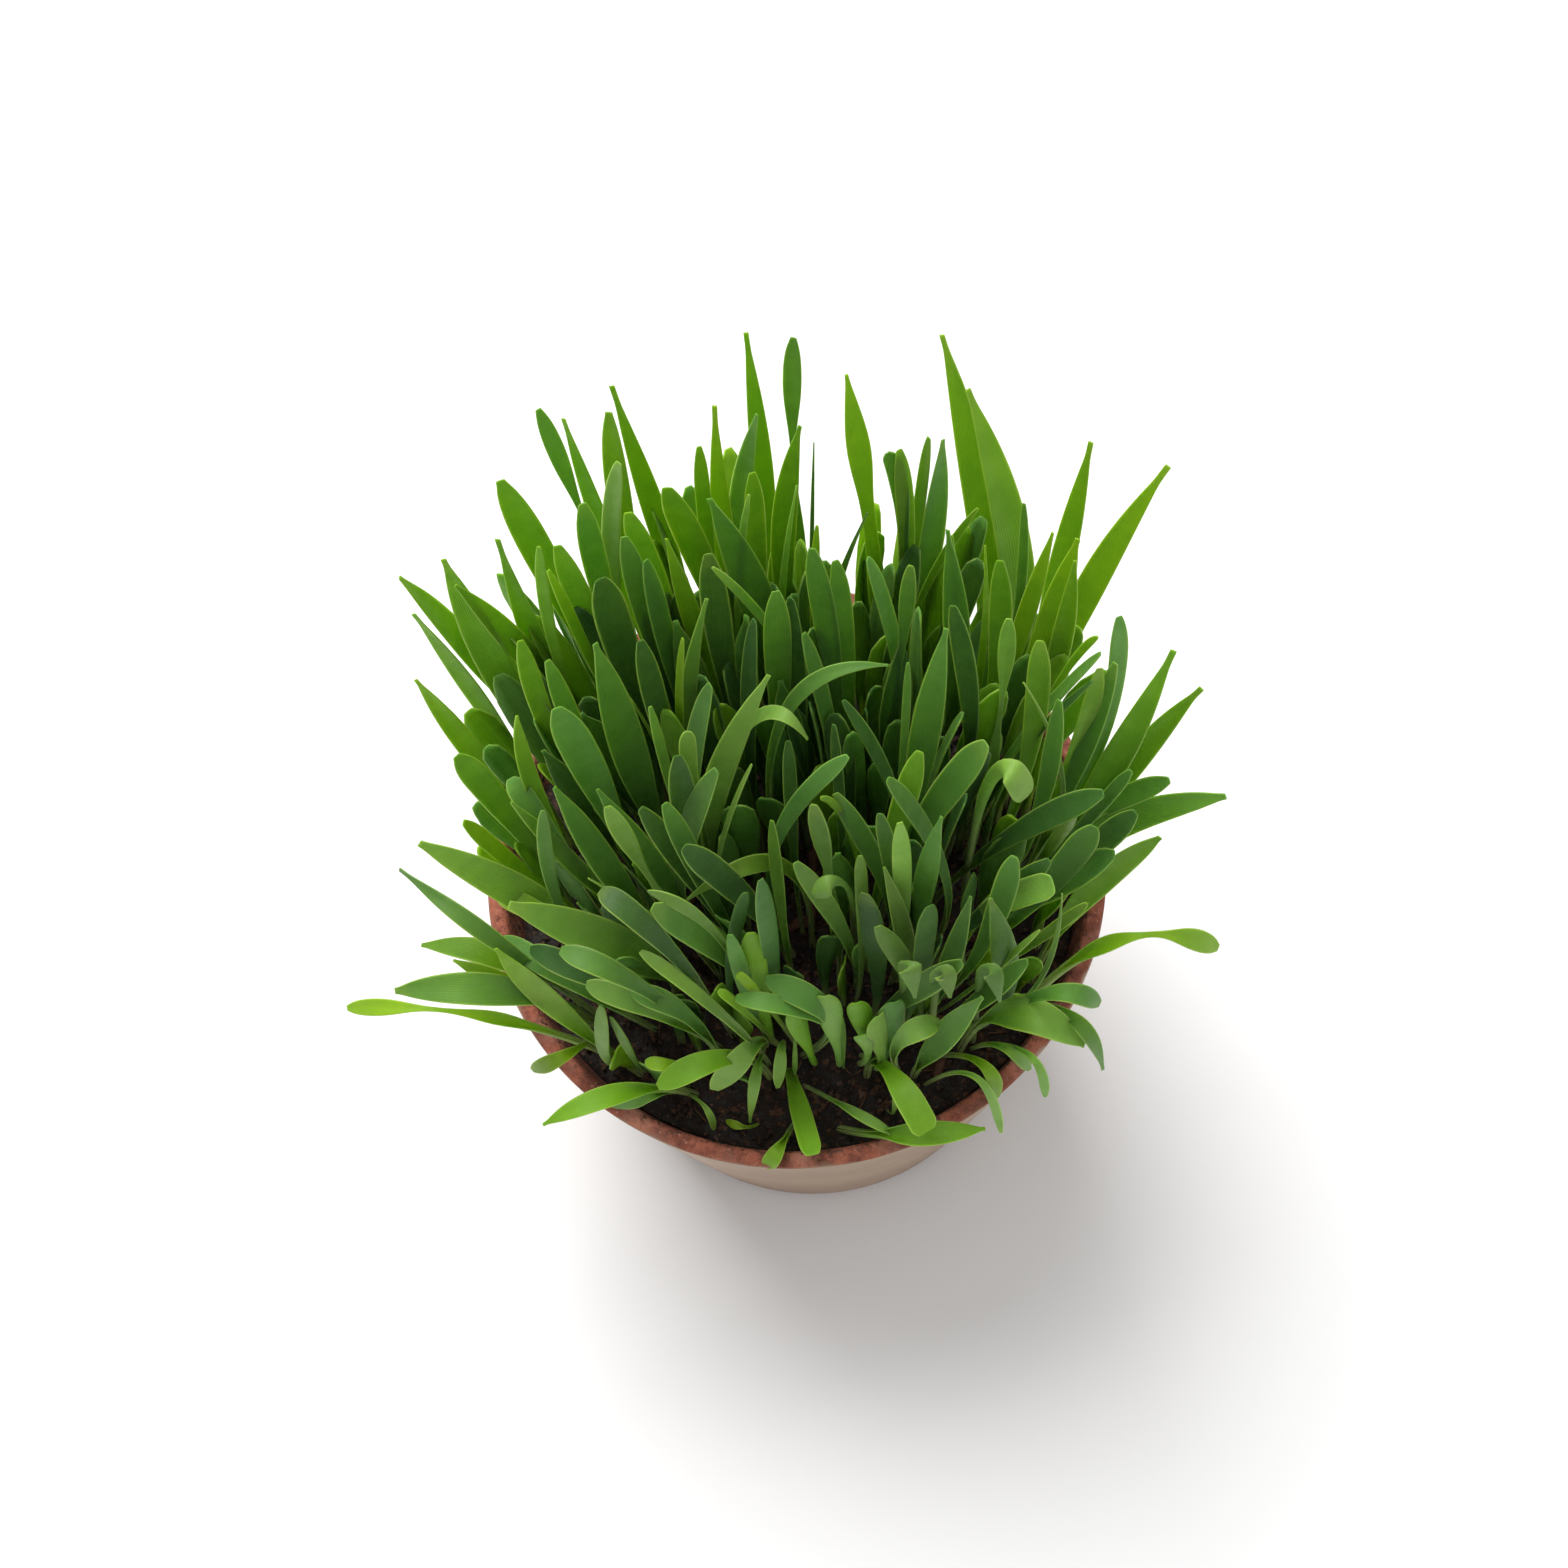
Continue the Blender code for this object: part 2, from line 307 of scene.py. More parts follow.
def make_clay():
    """Raw clay on the lip and inside, a smooth pale coat on the outer wall."""
    clay = Recipe("pot_clay", 0.85)
    where = clay.place()
    axes = clay.add("SeparateXYZ", Vector=where).outputs
    radius = clay.maths("SQRT", clay.maths("ADD", clay.maths("MULTIPLY", axes[0], axes[0]),
                                           clay.maths("MULTIPLY", axes[1], axes[1])))
    slope = (RIM_RADIUS - BASE_RADIUS) / POT_HEIGHT
    wall = clay.maths("MULTIPLY_ADD", axes[2], slope, BASE_RADIUS)
    depth = clay.maths("SUBTRACT", wall, radius)
    wobble = clay.noise(where, 130, 4)
    edge = clay.maths("MULTIPLY_ADD", wobble, 0.0012, axes[2])
    below_lip = clay.between(edge, POT_HEIGHT - 0.0002, POT_HEIGHT + 0.0004, 1.0, 0.0)
    outside = clay.between(depth, 0.0009, 0.0014, 1.0, 0.0)
    above_foot = clay.between(edge, 0.0012, 0.0022)
    coated = clay.maths("MULTIPLY", clay.maths("MULTIPLY", below_lip, outside), above_foot)

    mottle = clay.noise(where, 260, 5, 0.62)
    raw = clay.mix(clay.between(mottle, 0.36, 0.62), RAW_CLAY_DARK, RAW_CLAY)
    dusty = clay.between(clay.noise(where, 95, 4), 0.5, 0.68, 0.0, 0.45)
    raw = clay.mix(dusty, raw, RAW_CLAY_PALE)
    grit = clay.between(clay.noise(where, 900, 3), 0.6, 0.72)
    raw = clay.mix(clay.maths("MULTIPLY", grit, 0.55), raw, RAW_CLAY_PALE)
    inner_edge = clay.between(depth, 0.0012, 0.0042)
    specks = clay.between(clay.noise(where, 760, 4, 0.7), 0.5, 0.6)
    stain = clay.maths("MULTIPLY", clay.maths("MULTIPLY_ADD", inner_edge, 0.75, 0.35), specks)
    raw = clay.mix(stain, raw, SOIL_STAIN)

    cloud = clay.noise(where, 38, 3)
    coat = clay.mix(clay.between(cloud, 0.35, 0.65), COAT_DARK, COAT)
    grain = clay.between(clay.cells(where, 520), 0.05, 0.1, 1.0, 0.0)
    rare = clay.between(clay.noise(where, 75, 2), 0.6, 0.66)
    coat = clay.mix(clay.maths("MULTIPLY", clay.maths("MULTIPLY", grain, rare), 0.8), coat,
                    COAT_GRAIN)

    clay.feed(clay.shader.inputs["Base Color"], clay.mix(coated, raw, coat))
    clay.feed(clay.shader.inputs["Roughness"],
              clay.maths("MULTIPLY_ADD", coated, -0.42, 0.86))
    pits = clay.between(clay.cells(where, 700), 0.1, 0.4)
    height = clay.maths("MULTIPLY_ADD", clay.noise(where, 1500, 3), 0.6, pits)
    rough_skin = clay.maths("MULTIPLY", height, clay.maths("SUBTRACT", 1.06, coated))
    clay.bump(rough_skin, 0.5, 0.0003)
    return clay.material


pot_clay = make_clay()
print("made", pot_clay.name)

# %% [markdown]
# ## The pot
# A pot is a turned shape: a tapered wall, a flat lip and a flat floor. The outline is spun round
# the axis in small steps, and noise moves the lip's points, because a fired edge has chips and
# is never quite flat. Three plain cylinders cut the drain holes.

# %% Turn the pot
POT_STEPS = 240
DRAIN_RADIUS = 4.5 * MM
DRAIN_RING = 20 * MM
DRAIN_HOLES = 3
FIRST_DRAIN = radians(90)
SHARP_ANGLE = radians(40)


def wall_out(height):
    """Outer radius at a height."""
    return BASE_RADIUS + (RIM_RADIUS - BASE_RADIUS) * height / POT_HEIGHT


def wall_in(height):
    """Inner radius at a height."""
    share = (height - FLOOR) / (POT_HEIGHT - FLOOR)
    return wall_out(height) - (WALL_AT_FLOOR + (LIP_WIDTH - WALL_AT_FLOOR) * share)


def pot_outline():
    """The section of the pot, from the base's middle round to the floor's middle."""
    top = POT_HEIGHT
    inner = wall_in(top)
    points = [(0, 0), (DRAIN_RING - DRAIN_RADIUS * 1.3, 0), (DRAIN_RING + DRAIN_RADIUS * 1.3, 0),
              (BASE_RADIUS - 1.4 * MM, 0), (BASE_RADIUS - 0.5 * MM, 0.35 * MM)]
    points += [(wall_out(z * MM), z * MM) for z in (1.4, 3, 10, 22, 36, 50, 62, 72, 79, 83, 84.6)]
    points += [(RIM_RADIUS - 0.12 * MM, top - 0.45 * MM), (RIM_RADIUS - 0.45 * MM, top - 0.1 * MM)]
    across = RIM_RADIUS - inner
    points += [(RIM_RADIUS - across * k / 7, top) for k in range(2, 6)]
    points += [(inner + 0.45 * MM, top - 0.1 * MM), (inner + 0.1 * MM, top - 0.5 * MM)]
    points += [(wall_in(z * MM), z * MM) for z in (84.5, 82, 78, 70, 40, 10)]
    points += [(wall_in(FLOOR) - 1 * MM, FLOOR), (DRAIN_RING + DRAIN_RADIUS * 1.3, FLOOR),
               (DRAIN_RING - DRAIN_RADIUS * 1.3, FLOOR), (0, FLOOR)]
    return points


def chip_lip(bm):
    """Sink small chips and waves into the lip, more at its two edges than in its middle."""
    for vert in bm.verts:
        lip = soft_step(POT_HEIGHT - 1.6 * MM, POT_HEIGHT - 0.2 * MM, vert.co.z)
        if lip > 0:
            wave = noise.noise(vert.co * 45) * 0.12 + noise.noise(vert.co * 300) * 0.1
            chip = max(0.0, noise.noise(vert.co * 170 + Vector((3, 1, 8))) - 0.28) * 1.6
            radius = hypot(vert.co.x, vert.co.y)
            near_edge = 1 - min(1.0, (RIM_RADIUS - radius) / (1.1 * MM))
            vert.co.z -= lip * (0.14 + wave + chip * (0.25 + near_edge)) * MM
            vert.co.xy *= 1 - lip * near_edge * chip * 0.35 * MM / radius


bm = spun(pot_outline(), POT_STEPS)
chip_lip(bm)
pot = finished(bm, "clay_pot", pot_clay, ["pot"])
print("turned pot, in metres", [round(side, 4) for side in pot.dimensions])

# %% Cut the drain holes
bm = bmesh.new()
for k in range(DRAIN_HOLES):
    turn = FIRST_DRAIN + 2 * pi * k / DRAIN_HOLES
    middle = Vector((cos(turn) * DRAIN_RING, sin(turn) * DRAIN_RING, FLOOR / 2))
    bmesh.ops.create_cone(bm, cap_ends=True, segments=32, radius1=DRAIN_RADIUS,
                          radius2=DRAIN_RADIUS, depth=FLOOR * 3,
                          matrix=Matrix.Translation(middle))
drill = placed(bm, "drill")
cut = pot.modifiers.new("drain_holes", "BOOLEAN")
cut.solver = "EXACT"
cut.object = drill
bpy.context.view_layer.update()
cut_mesh = bpy.data.meshes.new_from_object(
    pot.evaluated_get(bpy.context.evaluated_depsgraph_get()))
pot.modifiers.clear()
pot.data = cut_mesh
pot.data.shade_smooth()
pot.data.set_sharp_from_angle(angle=SHARP_ANGLE)
bpy.data.objects.remove(drill, do_unlink=True)
print("pot faces", len(pot.data.polygons))

# %% [markdown]
# ## The soil
# Moist potting soil is nearly black, with crumbs, bark bits and fine fibres. Its body is a
# turned plug whose top is moved by noise of three sizes. The loose crumbs are small balls of
# few faces, squashed and turned at random.

# %% Mix the soil material
SOIL_DARK = linear(27, 18, 13)
SOIL_BROWN = linear(76, 52, 38)
SOIL_BARK = linear(108, 72, 48)
SOIL_PALE = linear(140, 112, 90)


def make_soil_material(name, brown_share):
    """Dark moist soil with brown grains and a faint wet gleam."""
    soil = Recipe(name, 0.8)
    where = soil.place()
    grains = soil.noise(where, 700, 5, 0.7)
    colour = soil.mix(soil.between(grains, 0.5 - brown_share, 0.72 - brown_share),
                      SOIL_DARK, SOIL_BROWN)
    bark = soil.between(soil.noise(where, 560, 2), 0.58 - brown_share, 0.68 - brown_share)
    colour = soil.mix(soil.maths("MULTIPLY", bark, 0.6), colour, SOIL_BARK)
    rare = soil.between(soil.noise(where, 1300, 3, 0.6), 0.66, 0.72)
    colour = soil.mix(soil.maths("MULTIPLY", rare, 0.6), colour, SOIL_PALE)
    soil.feed(soil.shader.inputs["Base Color"], colour)
    soil.feed(soil.shader.inputs["Roughness"], soil.between(grains, 0.35, 0.6, 0.55, 0.95))
    soil.bump(grains, 0.8, 0.0006)
    return soil.material


potting_soil = make_soil_material("potting_soil", 0.0)
crumb_soil = make_soil_material("crumb_soil", 0.06)
fibre_brown = make_soil_material("fibre_brown", 0.3)
print("soil materials", potting_soil.name, crumb_soil.name, fibre_brown.name)


def soil_top(x, y):
    """Height of the shown soil at a point: the level, with slow lumps and small crumbs."""
    at = Vector((x, y, 0.31))
    lumps = noise.noise(at * 60) * 1.8 + noise.noise(at * 190) * 1.6
    crumbs = noise.noise(at * 520) * 1.1
    return SOIL_LEVEL + (lumps + crumbs) * MM


# %% Turn the soil's plug and roughen its top
SOIL_STEPS = 200
SOIL_RINGS = 46
low = FLOOR + 0.35 * MM
outline = [(SOIL_RADIUS * k / SOIL_RINGS, SOIL_LEVEL) for k in range(SOIL_RINGS + 1)]
outline += [(wall_in(45 * MM) - 0.35 * MM, 45 * MM), (wall_in(low) - 0.35 * MM, low), (0, low)]
bm = spun(outline, SOIL_STEPS)
for vert in bm.verts:
    if vert.co.z > SOIL_LEVEL - 0.1 * MM:
        vert.co.z = soil_top(vert.co.x, vert.co.y)
soil_bed = finished(bm, "soil_bed", potting_soil, ["soil"])
print("soil faces", len(soil_bed.data.polygons))

# %% Scatter crumbs and lumps on it
dice = random.Random(41)


def spot_in_pot(limit):
    """A random point on the soil, evenly spread out to a radius."""
    radius = limit * sqrt(dice.random())
    turn = dice.uniform(0, 2 * pi)
    return radius * cos(turn), radius * sin(turn)


def random_turn():
    """A random rotation as a matrix."""
    return (Matrix.Rotation(dice.uniform(0, pi), 4, "X")
            @ Matrix.Rotation(dice.uniform(0, pi), 4, "Y")
            @ Matrix.Rotation(dice.uniform(0, pi), 4, "Z"))


def squashed_ball(bm, place, size, detail):
    """One crumb: a ball of few faces, stretched by three random shares and turned."""
    stretch = Matrix.Diagonal((dice.uniform(0.7, 1.3), dice.uniform(0.6, 1.1),
                               dice.uniform(0.5, 0.9), 1))
    made = bmesh.ops.create_icosphere(bm, subdivisions=detail, radius=size / 2,
                                      matrix=Matrix.Translation(place) @ random_turn() @ stretch)
    for vert in made["verts"]:
        vert.co += (vert.co - place) * noise.noise(vert.co * 900) * 0.5


for name, count, margin, smallest, largest, lift, detail in (
        ("soil_crumbs", 2400, 0.8, 0.6, 2.0, 0.2, 1), ("soil_lumps", 120, 2.5, 2.2, 4.6, 0.1, 2)):
    bm = bmesh.new()
    for k in range(count):
        x, y = spot_in_pot(SOIL_RADIUS - margin * MM)
        size = dice.uniform(smallest, largest) * MM
        squashed_ball(bm, Vector((x, y, soil_top(x, y) + size * lift)), size, detail)
    laid = finished(bm, name, crumb_soil, smooth=name == "soil_lumps")
    print(name, "faces", len(laid.data.polygons))

# %% Lay fibres and empty seed husks between the crumbs
HUSK_FORM = (0.25, 0.75, 1.05, 1.1, 0.8, 0.2)
FIBRE_FORM = (0.12, 0.2, 0.22, 0.18, 0.1)


def rod(bm, points, radii, sides):
    """A closed tube: a disc extruded through a few points, with a radius in mm for each."""
    disc = bmesh.ops.create_circle(bm, cap_ends=True, segments=sides, radius=1)["verts"]
    end = disc[0].link_faces[0]
    for k, (point, radius) in enumerate(zip(points, radii)):
        if k:
            grown = bmesh.ops.extrude_face_region(bm, geom=[end])["geom"]
            if k > 1:
                bmesh.ops.delete(bm, geom=[end], context="FACES_ONLY")
            end = next(item for item in grown if isinstance(item, bmesh.types.BMFace))
        ahead = points[min(k + 1, len(points) - 1)] - points[max(k - 1, 0)]
        side = ahead.cross(Vector((0, 0, 1))).normalized()
        up = side.cross(ahead).normalized()
        for corner, vert in enumerate(end.verts):
            turn = 2 * pi * corner / sides
            vert.co = point + (side * cos(turn) + up * sin(turn)) * radius * MM


def lying_line(length, count):
    """Points of a slightly bent line that lies on the soil at a random spot."""
    x, y = spot_in_pot(SOIL_RADIUS - 5 * MM)
    heading, bend = dice.uniform(0, 2 * pi), dice.uniform(-0.25, 0.25)
    points = []
    for k in range(count):
        points.append(Vector((x, y, soil_top(x, y) + 0.5 * MM)))
        x += cos(heading) * length / count
        y += sin(heading) * length / count
        heading += bend
    return points


for name, count, form, shortest, longest, sides in (
        ("soil_fibres", 130, FIBRE_FORM, 2.5, 8, 4), ("seed_husks", 24, HUSK_FORM, 6.5, 9, 8)):
    bm = bmesh.new()
    for k in range(count):
        rod(bm, lying_line(dice.uniform(shortest, longest) * MM, len(form)), form, sides)
    bmesh.ops.recalc_face_normals(bm, faces=bm.faces)
    laid = finished(bm, name, fibre_brown)
    print(name, "faces", len(laid.data.polygons))

# %% [markdown]
# ## How a blade is made
# A young oat leaf is one long strip, rolled into a round sheath low down and opened into a
# shallow trough above. Here each row of a flat grid is placed on a curve through the foot, a
# point part way up and the tip, as in the solid model, and rolled to match. Solidify then
# gives the strip its thickness and a Subdivision Surface rounds it.

# %% Write the blade's line, width and roll
SHEATH_ARC = 4.8 * MM
SHEATH_PER_WIDTH = 1.2
SHEATH_ROLL = 6.2
BLADE_ROLL = 0.55
CUP_ROLL = 1.7
TAPER_SPREAD = 0.14
TAPER_PATTERN = 300
SHEATH_SHARE = 0.2
OPEN_SHARE = 0.46
FOOT_DEPTH = 3.5 * MM
MOST_BURIED = 0.35
DROOP_SHARE = 0.86
LOWEST_SHARE = 0.3
TIP_CROWDING = 1.7


def leaf_line(foot, middle, tip):
    """A curve from foot through middle to tip: call it with a share to get point, direction."""
    height_share = (middle.z - foot.z) / (tip.z - foot.z)
    lower, upper = (middle - foot).length, (tip - middle).length
    arched = (0.5 + lower / (lower + upper)) / 2
    past = height_share if LOWEST_SHARE < height_share < DROOP_SHARE else arched
    left = 1 - past
    bow = (middle - foot * left * left - tip * past * past) / (2 * past * left)

    def at(share):
        rest = 1 - share
        point = foot * rest * rest + bow * 2 * share * rest + tip * share * share
        ahead = (bow - foot) * rest + (tip - bow) * share
        return point, ahead.normalized()
    return at


# narrow: width at the sheath; wide: where the full width is reached; end: where the tip's
# taper starts, with its power and rounding; least: width of the very end; neck: its depth.
Form = namedtuple("Form", "narrow wide end power rounding least neck")
FORMS = {
    "round": Form(0.46, 0.76, 0.82, 2.1, 0.5, 0.3, 0),
    "blunt": Form(0.4, 0.85, 0.95, 3.0, 0.4, 0.6, 0),
    "cup": Form(0.2, 0.9, 0.88, 2.2, 0.5, 0.3, 0),
    "spoon": Form(0.5, 0.5, 0.87, 2.4, 0.5, 0.3, 0.76),
    "lens": Form(0.45, 0.6, 0.74, 1.9, 1, 0.12, 0.55),
    "oval": Form(0.5, 0.6, 0.58, 2.3, 0.7, 0.2, 0),
    "point": Form(0.4, 0.6, 0.6, 2.4, 1, 0.16, 0),
    "spire": Form(0.4, 0.55, 0.54, 1.9, 1, 0.22, 0),
}


def outline_share(share, form, later=0.0):
    """How wide the open blade is at a share of its length; later moves the tip's taper on."""
    shape = FORMS[form]
    along = max(0.0, (share - SHEATH_SHARE) / (1 - SHEATH_SHARE))
    grow = shape.narrow + (1 - shape.narrow) * soft_step(shape.wide - 0.5, shape.wide, along)
    neck = 1 - shape.neck * soft_step(0.3, 0.58, along) * (1 - soft_step(0.64, 0.86, along))
    end = shape.end + later
    near = max(0.0, (along - end) / (1 - end))
    return grow * neck * max(shape.least, max(0.0, 1 - near ** shape.power) ** shape.rounding)


print("forms of leaf end", sorted(FORMS))

# %% Write the function that grows one blade
def grow_blade(bm, foot, middle, tip, width, tint, form="round", turn=0.0, twist=0.0,
               facing=0.0, columns=4, rows=12, wave=0.0, tip_dryness=0.0):
    """Add one leaf strip to a bmesh. Lengths are metres, turn and twist are radians.

    The broad side lies across the blade's lean, and the share facing turns it to the photo's
    viewpoint, because the blades that look broad in the photo face it.
    """
    uv = bm.loops.layers.uv.verify()
    colour = bm.verts.layers.float_color.get("tint") or bm.verts.layers.float_color.new("tint")
    made = bmesh.ops.create_grid(bm, x_segments=columns, y_segments=rows, size=0.5)
    verts = made["verts"]
    at = leaf_line(foot, middle, tip)
    lean = tip - foot
    heading = atan2(lean.y, lean.x)
    across = Vector((-sin(heading), cos(heading), 0))
    shown_sign = 1 if at(0.6)[1].cross(-back).dot(across) > 0 else -1
    buried = min(MOST_BURIED, FOOT_DEPTH / (max(tip.z, middle.z) - foot.z))
    sheath_arc = min(SHEATH_ARC, width * SHEATH_PER_WIDTH)
    open_roll = CUP_ROLL if form == "cup" else BLADE_ROLL
    later = noise.noise(tip * TAPER_PATTERN) * TAPER_SPREAD if form == "round" else 0.0
    spots = {}
    for vert in verts:
        u = vert.co.x * 2
        share = 1 - (0.5 - vert.co.y) ** TIP_CROWDING
        spots[vert] = (u, share)
        point, ahead = at(share)
        side = (across - ahead * across.dot(ahead)).normalized()
        shown = ahead.cross(-back).normalized() * shown_sign
        side = side.lerp(shown, facing).normalized()
        swing = turn + twist * soft_step(0.25, 1.0, share)
        side = Matrix.Rotation(swing, 3, ahead) @ side
        inward = -side.cross(ahead)
        opened = soft_step(SHEATH_SHARE + buried, OPEN_SHARE + buried, share)
        arc = sheath_arc + (width * outline_share(share, form, later) - sheath_arc) * opened
        roll = SHEATH_ROLL + (open_roll - SHEATH_ROLL) * opened
        radius = arc / roll
        turned = u * roll / 2
        lift = radius * (1 - cos(turned)) - radius * (1 - opened)
        lift += wave * opened * sin(share * 17 + u * 1.3) * abs(u)
        vert.co = point + side * (radius * sin(turned)) + inward * lift
        vert[colour] = (*tint, tip_dryness)
    for face in {face for vert in verts for face in vert.link_faces}:
        for loop in face.loops:
            u, share = spots[loop.vert]
            loop[uv].uv = ((u + 1) / 2, share)


# %% Write the function that thickens the strips
LEAF_THICK = 0.34 * MM


def thickened(piece, rounded=True):
    """Give leaf strips their thickness, with closed edges, and round them."""
    modifier = piece.modifiers.new("thickness", "SOLIDIFY")
    modifier.thickness = LEAF_THICK
    modifier.offset = 0
    modifier.use_even_offset = False
    modifier.use_rim = True
    if rounded:
        modifier = piece.modifiers.new("rounded", "SUBSURF")
        modifier.levels = modifier.render_levels = 1


# %% [markdown]
# ## The leaf's surface
# Oat leaves are matt, with fine parallel veins, a thin pale margin and a pale sheath. Each blade
# carries its tint as an attribute; the material adds the rest along the strip's UV map, with
# painted shade that darkens the lower blade. Light comes through thin blades, so the shader has
# some subsurface scattering.

# %% Mix the leaf material
SHEATH_PALE = linear(176, 188, 128)
MARGIN_PALE = linear(168, 200, 104)
TIP_DRY = linear(156, 172, 76)


def make_leaf():
    """A matt grass leaf, coloured by its tint, with veins, a pale margin, a pale foot and painted
    shade on the lower blade.
    """
    leaf = Recipe("oat_leaf", 0.52)
    where = leaf.place()
    own = leaf.add("Attribute", attribute_name="tint").outputs
    tint = own["Color"]
    strip = leaf.add("SeparateXYZ", Vector=leaf.add("UVMap").outputs[0]).outputs
    from_middle = leaf.maths("ABSOLUTE", leaf.maths("SUBTRACT", strip[0], 0.5))

    blotch = leaf.between(leaf.noise(where, 140, 4, 0.6), 0.3, 0.7)
    colour = leaf.mix(leaf.maths("MULTIPLY", blotch, 0.5), tint,
                      leaf.mix(1.0, tint, (0.62, 0.74, 0.66), "MULTIPLY"))
    veins = leaf.maths("SINE", leaf.maths("MULTIPLY", strip[0], 88.0))
    vein_share = leaf.maths("MULTIPLY_ADD", veins, 0.12, 0.12)
    colour = leaf.mix(vein_share, colour, leaf.mix(1.0, colour, (0.55, 0.6, 0.5), "MULTIPLY"))
    margin = leaf.between(from_middle, 0.455, 0.5, 0.0, 0.3)
    colour = leaf.mix(margin, colour, MARGIN_PALE)
    # Painted shade: the lower part of each blade is darkened, as if shaded by the leaves around it.
    depth = leaf.between(strip[1], 0.35, 0.85, 0.45, 0.0)
    colour = leaf.mix(depth, colour, leaf.mix(1.0, colour, (0.35, 0.5, 0.4), "MULTIPLY"))
    foot = leaf.between(strip[1], 0.1, 0.42, 1.0, 0.0)
    colour = leaf.mix(leaf.maths("MULTIPLY", foot, 0.5), colour, SHEATH_PALE)
    ragged = leaf.maths("MULTIPLY_ADD", leaf.noise(where, 420, 2), 0.08, strip[1])
    dry = leaf.maths("MULTIPLY", leaf.between(ragged, 0.96, 1.02), own["Alpha"])
    colour = leaf.mix(dry, colour, TIP_DRY)

    leaf.feed(leaf.shader.inputs["Base Color"], colour)
    leaf.feed(leaf.shader.inputs["Roughness"], leaf.between(blotch, 0.0, 1.0, 0.46, 0.6))
    leaf.shader.inputs["Subsurface Weight"].default_value = 0.55
    leaf.shader.inputs["Subsurface Scale"].default_value = 0.002
    leaf.shader.inputs["Subsurface Radius"].default_value = (0.8, 1.0, 0.15)
    leaf.shader.inputs["Specular IOR Level"].default_value = 0.28
    ridges = leaf.maths("MULTIPLY_ADD", veins, 0.5, leaf.noise(where, 1600, 2))
    leaf.bump(ridges, 0.25, 0.00012)
    return leaf.material


oat_leaf = make_leaf()

TONES = {
    "G": linear(92, 137, 56),
    "D": linear(66, 104, 46),
    "S": linear(110, 154, 32),
    "Y": linear(130, 170, 30),
    "L": linear(122, 162, 68),
}
print("leaf tones", sorted(TONES))

# %% [markdown]
# ## The modelled shoots
# These are the solid model's shoots, with the same feet, middles, tips and widths in
# millimetres, then the leaf's tone (G blue-green, D dark, S fresh, Y yellow-green, L light) and
# the form of its end, which is round if none is given.

